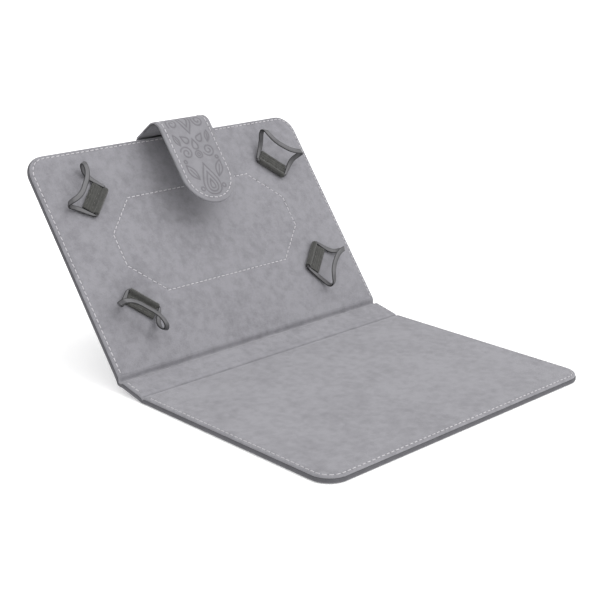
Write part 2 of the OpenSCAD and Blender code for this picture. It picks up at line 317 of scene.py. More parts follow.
@dataclass(frozen=True)
class Finish:
    """A mottled and grained surface, the start of every finish here."""

    name: str
    light: Colour
    dark: Colour
    slot: str
    mottle: float = 60.0
    grain: float = 900.0
    fibre: float = 3500.0
    bump: float = 0.0002
    bump_strength: float = 0.5
    rough: float = 0.8
    rough_spread: float = 0.1
    sheen: float = 0.0
    metallic: float = 0.0
    specular: float = 0.4
    coords: Coords = Coords.OBJECT
    mark_tint: Optional[Colour] = None

    def feed(self, tree: bpy.types.NodeTree, socket: bpy.types.NodeSocket, value: object) -> None:
        """Give a socket a value, or link it to the socket that gives one."""
        if isinstance(value, bpy.types.NodeSocket):
            tree.links.new(value, socket)
        else:
            socket.default_value = value

    def node(self, tree: bpy.types.NodeTree, kind: str, **values: object) -> bpy.types.Node:
        """Add a node and set its sockets by name.

        Args:
            tree: the material's nodes.
            kind: the node's type.
            **values: socket names with underscores for spaces, a value or a socket each.

        Returns:
            The node.
        """
        made = tree.nodes.new(kind)
        for key, value in values.items():
            self.feed(tree, made.inputs[key.replace("_", " ")], value)
        return made

    def math_node(self, tree: bpy.types.NodeTree, kind: str, a: object, b: object) -> bpy.types.NodeSocket:
        """Add a sum or product of two values and return its result."""
        made = tree.nodes.new("ShaderNodeMath")
        made.operation = kind
        for socket, value in zip(made.inputs, (a, b)):
            self.feed(tree, socket, value)
        return made.outputs[0]

    def ramp(self, tree: bpy.types.NodeTree, value: bpy.types.NodeSocket, low: float, high: float,
             dark: Colour, light: Colour) -> bpy.types.NodeSocket:
        """Return a colour that goes from dark to light as a value rises."""
        made = self.node(tree, "ShaderNodeValToRGB", Fac=value)
        for stop, position, colour in zip(made.color_ramp.elements, (low, high), (dark, light)):
            stop.position = position
            stop.color = (*colour, 1)
        return made.outputs["Color"]

    def height(self, tree: bpy.types.NodeTree, at: bpy.types.NodeSocket) -> bpy.types.NodeSocket:
        """Return the surface's fine relief, from 0 to about 1."""
        grain = self.node(tree, "ShaderNodeTexNoise", Vector=at, Scale=self.grain, Detail=4.0, Roughness=0.6)
        fibre = self.node(tree, "ShaderNodeTexNoise", Vector=at, Scale=self.fibre, Detail=2.0, Roughness=0.5)
        half = self.math_node(tree, "MULTIPLY", fibre.outputs["Fac"], 0.5)
        return self.math_node(tree, "ADD", grain.outputs["Fac"], half)

    def material(self) -> bpy.types.Material:
        """Return the finish's material, made once."""
        known = bpy.data.materials.get(self.name)
        if known:
            return known
        made = bpy.data.materials.new(self.name)
        made.use_nodes = True
        tree = made.node_tree
        shader = tree.nodes["Principled BSDF"]
        at = tree.nodes.new("ShaderNodeTexCoord").outputs[self.coords.value]
        broad = self.node(tree, "ShaderNodeTexNoise", Vector=at, Scale=self.mottle, Detail=5.0,
                          Roughness=0.62)
        patches = self.node(tree, "ShaderNodeTexNoise", Vector=at, Scale=self.mottle * 0.16, Detail=2.0)
        relief = self.height(tree, at)
        mix = self.math_node(tree, "ADD", self.math_node(tree, "MULTIPLY", broad.outputs["Fac"], 0.55),
                             self.math_node(tree, "MULTIPLY", relief, 0.2))
        mix = self.math_node(tree, "ADD", mix, self.math_node(tree, "MULTIPLY", patches.outputs["Fac"], 0.25))
        colour = self.ramp(tree, mix, 0.34, 0.62, self.dark, self.light)
        if self.mark_tint:
            mark = tree.nodes.new("ShaderNodeAttribute")
            mark.attribute_name = "mark"
            darker = tree.nodes.new("ShaderNodeMix")
            darker.data_type = "RGBA"
            darker.blend_type = "MULTIPLY"
            for number, value in ((0, mark.outputs["Fac"]), (6, colour), (7, (*self.mark_tint, 1))):
                self.feed(tree, darker.inputs[number], value)
            colour = darker.outputs[2]
        spread = self.math_node(tree, "MULTIPLY", broad.outputs["Fac"], self.rough_spread)
        rough = self.math_node(tree, "ADD", spread, self.rough - self.rough_spread / 2)
        bump = self.node(tree, "ShaderNodeBump", Height=relief, Strength=self.bump_strength,
                         Distance=self.bump)
        looks = {"Base Color": colour, "Roughness": rough, "Normal": bump.outputs["Normal"],
                 "Metallic": self.metallic, "Specular IOR Level": self.specular,
                 "Sheen Weight": self.sheen, "Sheen Roughness": 0.45}
        for name, value in looks.items():
            self.feed(tree, shader.inputs[name], value)
        return made


@dataclass(frozen=True)
class Woven(Finish):
    """Cloth tape whose threads follow the piece's own UV map, in millimetres."""

    thread: float = 0.9
    coords: Coords = Coords.UV

    def height(self, tree: bpy.types.NodeTree, at: bpy.types.NodeSocket) -> bpy.types.NodeSocket:
        """Return the relief of crossing threads."""
        waves = []
        for direction in ("X", "Y"):
            wave = self.node(tree, "ShaderNodeTexWave", Vector=at, Scale=0.314 / self.thread,
                             Distortion=0.6, Detail=1.0)
            wave.bands_direction = direction
            waves.append(wave.outputs["Fac"])
        crossed = self.math_node(tree, "ADD", waves[0], waves[1])
        fuzz = self.node(tree, "ShaderNodeTexNoise", Vector=at, Scale=3.0, Detail=2.0)
        return self.math_node(tree, "ADD", self.math_node(tree, "MULTIPLY", crossed, 0.5),
                              self.math_node(tree, "MULTIPLY", fuzz.outputs["Fac"], 0.4))


SUEDE = Finish("suede_lining", (0.232, 0.229, 0.247), (0.155, 0.152, 0.166), "suede", mottle=150,
               grain=800, fibre=3600, bump=0.00035, bump_strength=0.6, rough=0.95, sheen=0.25, specular=0.15)
NUBUCK = Finish("nubuck_skin", (0.205, 0.203, 0.219), (0.145, 0.143, 0.155), "skin", mottle=110, grain=1500,
                fibre=4200, bump=0.00018, bump_strength=0.45, rough=0.78, sheen=0.1, specular=0.3)
# This finish's mark_tint darkens the turned side edges with painted shade.
SHADED_EDGE = replace(NUBUCK, name="nubuck_shaded_edge", mark_tint=(0.42, 0.42, 0.43))
EMBOSSED = replace(NUBUCK, name="nubuck_strap", light=(0.208, 0.205, 0.221), dark=(0.147, 0.1445, 0.157),
                   rough=0.74, specular=0.32, mark_tint=(0.6, 0.59, 0.6))
THREAD = Finish("seam_thread", (0.48, 0.47, 0.49), (0.37, 0.36, 0.38), "thread", mottle=400, grain=2500,
                fibre=6000, bump=0.00012, rough=0.6, sheen=0.2)
DARK_THREAD = replace(THREAD, name="tape_thread", light=(0.075, 0.075, 0.07), dark=(0.045, 0.045, 0.042),
                      bump=0.0001)
TAPE = Woven("elastic_tape", (0.064, 0.064, 0.06), (0.028, 0.028, 0.026), "webbing", mottle=0.15,
             bump=0.0003, bump_strength=0.8, rough=0.85, sheen=0.25, specular=0.25)
RIBBON = Woven("stay_ribbon", (0.1, 0.1, 0.1), (0.05, 0.05, 0.05), "ribbon", mottle=0.15, thread=0.7,
               bump=0.0002, bump_strength=0.7, rough=0.7, sheen=0.3)
# This finish's mark_tint paints shade on the clip strip's narrow edges, and also darkens the hinge bar.
GRAPHITE = Finish("graphite_strip", (0.082, 0.081, 0.086), (0.05, 0.049, 0.052), "clip_metal", mottle=220,
                  grain=2600, fibre=6000, bump=0.00003, bump_strength=0.25, rough=0.42, rough_spread=0.18,
                  metallic=0.25, specular=0.5, mark_tint=(0.12, 0.12, 0.125))
BOARD = Finish("grey_board", (0.3, 0.25, 0.19), (0.2, 0.165, 0.125), "board", mottle=300, grain=1500,
               fibre=5000, bump=0.0002, rough=0.95)
STRAP_CORE = replace(BOARD, name="grey_core", light=(0.19, 0.187, 0.2), dark=(0.14, 0.138, 0.147))
STEEL = Finish("plate_steel", (0.45, 0.45, 0.46), (0.33, 0.33, 0.34), "plate_steel", mottle=150, grain=900,
               fibre=4000, bump=0.00002, rough=0.4, metallic=1.0)
NICKEL = Finish("magnet_nickel", (0.62, 0.61, 0.59), (0.5, 0.49, 0.47), "magnet", mottle=120, grain=700,
                fibre=3000, bump=0.00001, rough=0.25, metallic=1.0)
BAND_TAPE = Finish("band_elastic", (0.064, 0.064, 0.06), (0.032, 0.032, 0.03), "webbing", mottle=300,
                   grain=1300, fibre=4000, bump=0.0003, rough=0.85, sheen=0.2)


def marked(piece: bpy.types.Object, dark: Callable[[Vector], float]) -> bpy.types.Object:
    """Give each vertex of a piece a value that its finish darkens by.

    Args:
        piece: the piece, before it is settled.
        dark: the value at a place on the piece, from 0 to 1.

    Returns:
        The piece.
    """
    mark = piece.data.attributes.new("mark", "FLOAT", "POINT")
    for vertex, entry in zip(piece.data.vertices, mark.data):
        entry.value = dark(vertex.co)
    return piece


def painted_edge_shade(at: Vector) -> float:
    """Return how much painted shade darkens a cover's turned side edge at a place."""
    return smoothstep((at.z - 0.2) / 1.2) * smoothstep((4.2 - at.z) / 0.8)


def settle(piece: bpy.types.Object, place: Matrix, finish: Finish, body: Optional[str] = None,
           replaced: Sequence[str] = (), angle: float = 38.0) -> bpy.types.Object:
    """Put a piece made in a local frame in its place and dress it.

    Args:
        piece: the piece, in millimetres in its own frame.
        place: that frame.
        finish: the finish it wears.
        body: the body it rides on, or None for a piece that rides on none.
        replaced: the CAD nodes that it stands for.
        angle: edges sharper than this stay crisp, in degrees.

    Returns:
        The piece.
    """
    piece.data.transform(Matrix.Scale(MM, 4) @ place)
    pick(piece)
    bpy.ops.object.shade_smooth_by_angle(angle=math.radians(angle))
    piece.data.materials.clear()
    piece.data.materials.append(finish.material())
    if body:
        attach(piece, body)
    if replaced:
        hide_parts(*replaced)
    LOG.info("%s: %d faces", piece.name, len(piece.data.polygons))
    return piece


# ------------------------------------------------------------------ covers


@dataclass(frozen=True)
class Outline:
    """A plate's outline in millimetres: a fold edge, and three free edges or a second fold edge."""

    half: float
    low: float
    high: float
    radius: float
    far_free: bool = True
    step: float = 1.1
    fold_steps: int = 48

    def ring(self, inset: float, z: float) -> Ring:
        """Return the outline moved in from its free edges.

        Args:
            inset: distance from the free edges.
            z: height of the ring.

        Returns:
            Points that correspond from one inset to the next.
        """
        x = self.half - inset
        low = self.low + 0.04 * inset
        high = self.high - (inset if self.far_free else 0.04 * inset)
        r = max(self.radius - inset, 0.3) if self.far_free else 0.01
        side = round((self.high - self.low - self.radius) / self.step)
        arc = max(2, round(self.radius * 1.57 / self.step))
        far = round(2 * (self.half - self.radius) / self.step)
        turns = [math.pi / 2 * k / arc for k in range(arc)]
        points = [(-x, low + (high - r - low) * k / side) for k in range(side)]
        points += [(-x + r - r * math.cos(a), high - r + r * math.sin(a)) for a in turns]
        points += [(-x + r + 2 * (x - r) * k / far, high) for k in range(far)]
        points += [(x - r + r * math.sin(a), high - r + r * math.cos(a)) for a in turns]
        points += [(x, high - r - (high - r - low) * k / side) for k in range(side)]
        points += [(x - 2 * x * k / self.fold_steps, low) for k in range(self.fold_steps)]
        return [Vector((px, py, z)) for px, py in points]

    def seam_lines(self, inset: float, z: float) -> list[Ring]:
        """Return the lines that an edge seam follows."""
        ring = self.ring(inset, z)[:1 - self.fold_steps]
        margin = 1.2
        if self.far_free:
            return [[p for p in ring if p.y > self.low + margin]]
        left = [p for p in ring if p.x < 0 and abs(p.x + self.half - inset) < 0.1]
        right = [p for p in ring if p.x > 0 and abs(p.x - self.half + inset) < 0.1]
        return [[p for p in side if self.low + margin < p.y < self.high - margin] for side in (left, right)]

    def puckered(self, inset: float, z: float, depth: float, wobble: float) -> Ring:
        """Return a seam's groove ring, deeper where the thread goes down.

        Args:
            inset: distance from the free edges.
            z: height of the surface.
            depth: mean depth of the groove, negative for one in a lower face.
            wobble: how much deeper it is between stitches.

        Returns:
            The ring.
        """
        ring = self.ring(inset, z)
        passed = 0.0
        for n, point in enumerate(ring[:1 - self.fold_steps]):
            if n:
                passed += (Vector(point.xy) - Vector(ring[n - 1].xy)).length
            point.z -= depth + wobble * math.cos(2 * math.pi * passed / SIZES.pitch)
        return ring


def octagon(grow: float = 0.0, share: float = 0.0) -> list[tuple[float, float]]:
    """Return the corners of the eight-sided seam about its own centre.

    Args:
        grow: how far the outline is moved outward.
        share: the part of that by which its cut corners grow.

    Returns:
        The corners in order.
    """
    x, y = SIZES.anchor_w / 2 + grow, SIZES.anchor_h / 2 + grow
    cut = SIZES.anchor_cut + grow * share
    return [(x, y - cut), (x - cut, y), (cut - x, y), (-x, y - cut),
            (-x, cut - y), (cut - x, -y), (x - cut, -y), (x, cut - y)]


def cast(corners: Sequence[tuple[float, float]], toward: Vector) -> Vector:
    """Return where a ray from the origin leaves a convex outline."""
    best = 0.0
    for k, (ax, ay) in enumerate(corners):
        bx, by = corners[k - 1]
        nx, ny = by - ay, ax - bx
        reach = nx * ax + ny * ay
        along = (nx * toward.x + ny * toward.y) / reach
        best = max(best, along)
    return Vector((toward.x / best, toward.y / best))


@dataclass(frozen=True)
class Cover:
    """One padded board of the case: outer skin with a turned edge, lining and edge seams."""

    label: str
    body: str
    outline: Outline
    place: Matrix
    anchored: bool = False

    def skin(self) -> bpy.types.Object:
        """Make the outer skin, hollow where the board lies."""
        o = self.outline
        s = SIZES
        rings = [o.ring(7, 0), o.ring(s.seam_in + 0.7, 0), o.puckered(s.seam_in, 0, -0.2, -0.08),
                 o.ring(s.seam_in - 0.7, 0), o.ring(1.6, 0), o.ring(1.0, 0.1), o.ring(0.35, 0.42),
                 o.ring(0.05, 1.0), o.ring(0, 1.8), o.ring(0.06, 2.7), o.ring(0.35, 3.25),
                 o.ring(0.8, s.board_top), o.ring(2.6, s.board_top), o.ring(2.6, s.skin_t)]
        # The mark darkens the turned side edge with painted shade.
        piece = marked(loft(f"{self.label}_outer_skin", rings), painted_edge_shade)
        return settle(piece, self.place, SHADED_EDGE, self.body, [f"{self.label}_skin"])

    def lining(self) -> bpy.types.Object:
        """Make the suede lining with the grooves that its seams press into it."""
        o = self.outline
        s = SIZES
        top = s.total_t
        rings = [o.ring(2.8, s.board_top), o.ring(0.9, s.board_top), o.ring(0.6, 3.6), o.ring(0.62, 4.3),
                 o.ring(0.85, 4.72), o.ring(1.2, 4.94), o.ring(1.7, top + 0.02),
                 o.ring(s.seam_in - 0.75, top), o.puckered(s.seam_in - 0.3, top, 0.2, 0.05),
                 o.puckered(s.seam_in, top, 0.3, 0.08), o.puckered(s.seam_in + 0.3, top, 0.2, 0.05),
                 o.ring(s.seam_in + 0.8, top - 0.02), o.ring(s.seam_in + 1.8, top), o.ring(9, top)]
        if self.anchored:
            rings += self.anchor_rings(rings[-1], top)
        piece = loft(f"{self.label}_lining_cloth", rings)
        if self.anchored:
            slits(piece, (corner.place() for corner in CORNERS), Vector((1.8, 24.8, 8)))
        piece = settle(piece, self.place, SUEDE, self.body, [f"{self.label}_lining"])
        return piece

    def anchor_rings(self, painted_rim_shade: Ring, top: float) -> list[Ring]:
        """Return the rings of the eight-sided seam's groove."""
        centre = Vector((0, SIZES.anchor_v))
        rings = []
        for grow, drop in ((2.0, 0.0), (0.7, 0.02), (0.3, 0.2), (0, 0.3), (-0.3, 0.2), (-0.7, 0.02), (-2, 0)):
            corners = octagon(grow, 0.6)
            ring = []
            for point in painted_rim_shade:
                at = cast(corners, Vector(point.xy) - centre)
                ring.append(Vector((at.x, at.y + centre.y, top - drop)))
            rings.append(ring)
        return rings

    def seams(self) -> None:
        """Sew the edge seam on both faces."""
        o = self.outline
        top = o.seam_lines(SIZES.seam_in, SIZES.total_t - 0.16)
        Stitch().sew(f"{self.label}_edge_seam", top, self.place, self.body, [f"{self.label}_thread"])
        under = o.seam_lines(SIZES.seam_in, 0.26)
        Stitch(sink=0.2).sew(f"{self.label}_outer_seam", under, self.place, self.body, up=-1)

    def build(self) -> None:
        """Make all of the cover's pieces."""
        self.skin()
        self.lining()
        self.seams()


@dataclass(frozen=True)
class Fold:
    """The outer skin and the lining where they cross one fold."""

    label: str
    bodies: tuple[str, str]
    place: Matrix
    angle: float
    dip: float
    spread: float

    def bent(self, x: float, y: float, z: float, reach: float) -> Vector:
        """Turn a point of the flat strip about the fold's axis.

        Args:
            x: place along the fold.
            y: distance across the fold.
            z: height above the outer face.
            reach: half the width over which the strip turns.

        Returns:
            The point in the first body's frame.
        """
        turn = math.radians(self.angle) * smoothstep((y + reach) / (2 * reach))
        up = z - SIZES.axis_z
        return Vector((x, y * math.cos(turn) - up * math.sin(turn),
                       y * math.sin(turn) + up * math.cos(turn) + SIZES.axis_z))

    def strip(self, name: str, reach: float, low: float, high: float,
              hem: Sequence[tuple[float, float, float]]) -> bpy.types.Object:
        """Make a strip across the fold from cross-sections along it.

        Args:
            name: name of the strip.
            reach: half its width across the fold.
            low: height of its lower face.
            high: height of its upper face.
            hem: its ends, as distance in from the case's side, lower height and upper height.

        Returns:
            The strip, flat with the first body.
        """
        half = SIZES.width / 2
        across = 24
        inner = half - hem[-1][0]
        rows = [(half - inset, *heights) for inset, *heights in hem]
        rows += [(inner - 2 * inner * n / 90, low, high) for n in range(1, 90)]
        rows += [(inset - half, *heights) for inset, *heights in reversed(hem)]
        rings = []
        for x, bottom, top in rows:
            uneven = 1 + 0.12 * noise.noise(Vector((x * 0.06, self.angle, 0)))
            ring = []
            for n in range(2 * across + 2):
                k, z = (n, top) if n <= across else (2 * across + 1 - n, bottom)
                y = reach * (2 * k / across - 1)
                sunk = self.dip * uneven * math.exp(-((y / self.spread) ** 2)) * min(1.0, z / SIZES.board_top)
                ring.append(self.bent(x, y, z - sunk, reach))
            rings.append(ring)
        piece = loft(name, rings)
        # The skin strip's ends at the case's sides get the same painted shade as the covers' turned edges.
        return piece if low else marked(piece, lambda at: smoothstep((abs(at.x) - half + 2) / 1.4))

    def build(self) -> None:
        """Make the skin and lining strips across the fold."""
        reach = SIZES.fold_setback
        turned = ((0.0, 1.7, 1.9), (0.05, 1.0, 2.7), (0.35, 0.42, 3.25), (0.8, 0.15, 3.4), (1.6, 0.0, 3.4),
                  (2.6, 0.0, 3.4), (2.62, 0.0, 1.0))
        cut = ((0.6, 3.6, 4.3), (0.85, 3.42, 4.72), (1.2, 3.4, 4.94), (1.7, 3.4, 5.0))
        layers = (("skin", SHADED_EDGE, 0.0, SIZES.skin_t, turned),
                  ("lining", SUEDE, SIZES.board_top, SIZES.total_t, cut))
        for kind, finish, low, high, hem in layers:
            piece = self.strip(f"{self.label}_{kind}_strip", reach, low, high, hem)
            settle(piece, self.place, finish)
            ends = [self.place @ self.bent(0, side * reach, SIZES.axis_z, reach) * MM for side in (-1, 1)]
            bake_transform(piece)


# ------------------------------------------------------------------ clips


def spline(points: Sequence[Sequence[float]], at: float) -> list[float]:
    """Return a smooth value between listed points, at a fractional index."""
    last = len(points) - 1
    i = min(int(at), last - 1)
    a, b, c, d = points[max(i - 1, 0)], points[i], points[i + 1], points[min(i + 2, last)]
    t = at - i
    return [
        0.5 * (2 * q + (r - p) * t + (2 * p - 5 * q + 4 * r - s) * t * t + (3 * q - p - 3 * r + s) * t ** 3)
        for p, q, r, s in zip(a, b, c, d)
    ]


@dataclass(frozen=True)
class Corner:
    """One corner clip: sewn tape loop, elastic and bent strip.

    A half_path entry is outward, sideways, height, turn of the strip's width, half width and half thickness.
    """

    label: str
    angle: float
    yaw: float = 0.0
    lift: float = 0.0
    bar_height: float = 2.5
    bar_r: float = 1.1
    tape_w: float = 24.4
    tape_end: float = 11.2
    tape_r: float = 2.16
    sides: int = 14
    half_path: tuple[tuple[float, ...], ...] = (
        (0.0, 12.6, 2.5, 0, 0.9, 0.9), (1.2, 13.7, 2.3, 40, 1.1, 0.8), (5.0, 14.2, 2.1, 85, 1.4, 0.62),
        (13.0, 14.9, 2.1, 100, 2.0, 0.55), (18.5, 16.4, 2.9, 104, 2.0, 0.55),
        (22.3, 18.6, 5.2, 108, 2.0, 0.55), (24.0, 19.4, 8.3, 112, 2.0, 0.55),
        (22.9, 17.8, 11.2, 120, 2.0, 0.55), (20.4, 13.6, 12.4, 140, 2.0, 0.55),
        (18.8, 9.2, 12.6, 165, 2.0, 0.55), (18.1, 4.8, 12.5, 177, 2.0, 0.55),
        (18.0, 0.0, 12.4, 180, 2.0, 0.55),
    )

    def place(self) -> Matrix:
        """Return the clip's frame in the panel's frame: x outward, y along the bar, z off the lining."""
        right = math.copysign(1, math.cos(math.radians(self.angle)))
        up = math.copysign(1, math.sin(math.radians(self.angle)))
        s = SIZES
        at = Matrix.Translation((s.clip_x * right, s.clip_v + s.clip_dv * up, s.total_t))
        return at @ Matrix.Rotation(math.radians(self.angle), 4, "Z")

    def world(self) -> Matrix:
        """Return the clip's frame in the case's frame."""
        return SIZES.panel() @ self.place()

    def rounds(self) -> list[float]:
        """Return the turns of the points around one cross-section of the strip."""
        return [2 * math.pi * (k + 0.5) / self.sides for k in range(self.sides)]

    def strip_ring(self, path: Sequence[Sequence[float]], at: float) -> Ring:
        """Return one cross-section of the strip, a flat oval with soft edges."""
        x, y, z, turn, half_w, half_t = spline(path, at)
        here = Vector((x, y, z))
        ahead = Vector(spline(path, min(at + 0.05, len(path) - 1))[:3])
        behind = Vector(spline(path, max(at - 0.05, 0))[:3])
        run = (ahead - behind).normalized()
        side = Vector((math.cos(math.radians(turn)), math.sin(math.radians(turn)), 0))
        side = (side - run * side.dot(run)).normalized()
        face = run.cross(side)
        ring = []
        for around in self.rounds():
            across = math.copysign(abs(math.cos(around)) ** 0.55, math.cos(around))
            thick = math.copysign(abs(math.sin(around)) ** 0.55, math.sin(around))
            ring.append(here + side * across * half_w + face * thick * half_t)
        return ring

    def clip(self) -> None:
        """Make the closed strip and its hinge bar."""
        mirrored = [(p[0], -p[1], p[2], 360 - p[3], p[4], p[5]) for p in self.half_path[-2::-1]]
        path = list(self.half_path) + mirrored
        steps = 9
        rings = [self.strip_ring(path, k / steps) for k in range((len(path) - 1) * steps + 1)]
        # The strip's narrow edges are marked for painted shade.
        painted_rim_shade = [smoothstep((abs(math.cos(around)) - 0.45) / 0.4) for around in self.rounds()]
        strip = loft("strip", rings, painted_rim_shade)
        end = [(13.5, 0.5), (13.4, 0.9), (13.0, self.bar_r), (6, self.bar_r)]
        bar_rings = [[Vector((x, y, self.bar_height + z)) for x, z in circle(r, 20)]
                     for y, r in [(-y, r) for y, r in end] + end[::-1]]
        bar = loft("bar", bar_rings, [0.8] * 20)
        loose = Matrix.Rotation(math.radians(self.yaw), 4, "Z")
        tilt = Matrix.Translation((0, 0, self.bar_height)) @ Matrix.Rotation(
            math.radians(-self.lift), 4, "Y") @ Matrix.Translation((0, 0, -self.bar_height))
        strip.data.transform(loose @ tilt)
        piece = joined(f"clip_strip_{self.label}", [strip, bar])
        settle(piece, self.world(), GRAPHITE, f"clip_{self.label}", [f"clip_{self.label}"])

    def tape(self) -> None:
        """Make the tape loop that is sewn around the bar, with its stitches."""
        profile = [(self.tape_end, 0.5), (self.tape_end - 0.3, 0.34), (8.0, 0.34), (4.0, 0.34), (1.0, 0.34)]
        for k in range(20):
            around = math.radians(-90 - 270 * k / 19)
            profile.append((self.tape_r * math.cos(around), self.bar_height + self.tape_r * math.sin(around)))
        profile = profile[:-1] + [(2.3, 2.5), (3.0, 2.3), (4.0, 2.22), (6.0, 2.34), (8.5, 2.36),
                                  (10.4, 2.25), (self.tape_end, 2.1)]
        rings = []
        rows = 40
        middle = Vector((4.5, 0, 1.4))
        for n in range(rows + 1):
            y = self.tape_w * (n / rows - 0.5)
            edge = smoothstep((self.tape_w / 2 - abs(y)) / 0.7)
            rib = 0.05 * math.cos(n * math.pi)
            pinch = math.sqrt(2) * ((1 - edge) * 0.28 + rib * 0.5)
            ring = []
            for x, z in profile:
                point = Vector((x, y, z))
                moved = point + (middle - point).normalized() * pinch
                ring.append(Vector((moved.x, y, moved.z)))
            rings.append(ring)
        piece = loft(f"tape_loop_{self.label}", rings)
        body = f"slider_{self.label}"
        settle(piece, self.world(), TAPE, body, [f"loop_{self.label}"], 50)
        lines = [[Vector((x, -11, 2.32)), Vector((x, 11, 2.32))] for x in (4.2, 9.8)]
        sewn = Stitch(length=2.2, radius=0.3, sink=0.1).seam(f"tape_stitches_{self.label}", lines)
        settle(sewn, self.world(), DARK_THREAD, body, angle=60)

    def elastic(self) -> None:
        """Make the stretching piece between the slit and the loop."""
        line = [(-0.1, -2.4), (-0.1, -1.2), (-0.05, -0.4), (0.15, 0.3), (0.6, 0.75), (1.4, 0.9), (3.0, 0.9)]
        half = self.tape_w / 2 - 1.1
        across = [Vector((0, half * (2 * k / 16 - 1), 0)) for k in range(17)]
        rings = []
        for n, (x, z) in enumerate(line):
            ahead = Vector(line[min(n + 1, len(line) - 1)])
            behind = Vector(line[max(n - 1, 0)])
            run = (ahead - behind).normalized()
            off = Vector((-run.y, 0, run.x)) * 0.42
            here = Vector((x, 0, z))
            rings.append([here + off + a for a in across] + [here - off + a for a in reversed(across)])
        piece = settle(loft(f"elastic_{self.label}", rings), self.world(), TAPE)
        ends = [self.world() @ Vector((x, 0, 0.3)) * MM for x in (-0.1, 1.6)]
        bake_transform(piece)

    def build(self) -> None:
        """Make all of the corner's pieces."""
        self.clip()
        self.tape()
        self.elastic()


CORNERS = (
    Corner("top_right", 45, yaw=4.0, lift=10.0),
    Corner("top_left", 135, yaw=4.0, lift=-1.0),
    Corner("bottom_left", 225, yaw=1.0, lift=14.0),
    Corner("bottom_right", 315, yaw=-2.0, lift=-1.5),
)


# ------------------------------------------------------------------ strap


class Motif(Enum):
    """The kinds of pressed ornament on the strap."""

    DROP = 1
    LEAF = 2
    RING = 3
    SCROLL = 4


@dataclass(frozen=True)
class Mark:
    """One pressed ornament: kind, place up from the tip, length, width or turn count, and turn."""

    kind: Motif
    x: float
    y: float
    length: float
    width: float
    turn: float = 0.0

    def line(self) -> list[Vector]:
        """Return points along the ornament's lines."""
        found = []
        count = 220
        for k in range(count + 1):
            t = k / count
            if self.kind is Motif.DROP:
                a = 2 * math.pi * t
                found.append((self.width * 0.75 * math.sin(a) * abs(math.sin(a / 2)) ** 1.6,
                              self.length / 2 * math.cos(a)))
            elif self.kind is Motif.LEAF:
                found.append((self.width / 2 * math.sin(math.pi * t), self.length * (t - 0.5)))
                found.append((-self.width / 2 * math.sin(math.pi * t), self.length * (t - 0.5)))
                found.append((0.3 * math.sin(math.pi * t), self.length * (t * 0.7 - 0.5)))
            elif self.kind is Motif.RING:
                found.append((self.length / 2 * math.cos(2 * math.pi * t),
                              self.length / 2 * math.sin(2 * math.pi * t)))
            else:
                r = self.length * (1 - 0.8 * t)
                a = 2 * math.pi * self.width * t
                found.append((r * math.cos(a), r * math.sin(a)))
        turn = Matrix.Rotation(math.radians(self.turn), 2)
        return [turn @ Vector(p) + Vector((self.x, self.y)) for p in found]


def paired(*marks: Mark) -> list[Mark]:
    """Return ornaments and their partners on the strap's other side."""
    both = []
    for m in marks:
        both += [m, Mark(m.kind, -m.x, m.y, m.length, -m.width, -m.turn)]
    return both


PATTERN = [
    Mark(Motif.DROP, 0, 20, 27, 15), Mark(Motif.DROP, 0, 17.5, 17, 9), Mark(Motif.DROP, 0, 15.5, 8, 4),
    Mark(Motif.RING, 0, 41, 6, 1), Mark(Motif.RING, 0, 41, 2.4, 1), Mark(Motif.DROP, 0, 50, 9, 5),
    Mark(Motif.DROP, 0, 68, 18, 11, 180), Mark(Motif.DROP, 0, 70, 10, 6, 180),
    Mark(Motif.RING, 0, 84, 5, 1), Mark(Motif.LEAF, 0, 93, 9, 5),
    *paired(
        Mark(Motif.LEAF, 13, 27, 15, 6, -28), Mark(Motif.RING, 10.5, 12.5, 3.2, 1),
        Mark(Motif.SCROLL, 10.5, 43.5, 5.6, 1.6, 200), Mark(Motif.LEAF, 15, 55, 10, 4, -18),
        Mark(Motif.DROP, 7.5, 55, 8, 5, -45), Mark(Motif.SCROLL, 12.5, 69, 5.2, 1.5, 150),
        Mark(Motif.RING, 8, 79, 3, 1), Mark(Motif.LEAF, 12.5, 84, 13, 5, 25),
        Mark(Motif.DROP, 7, 91, 9, 5, 20), Mark(Motif.RING, 15.5, 36.5, 2.6, 1),
    ),
]


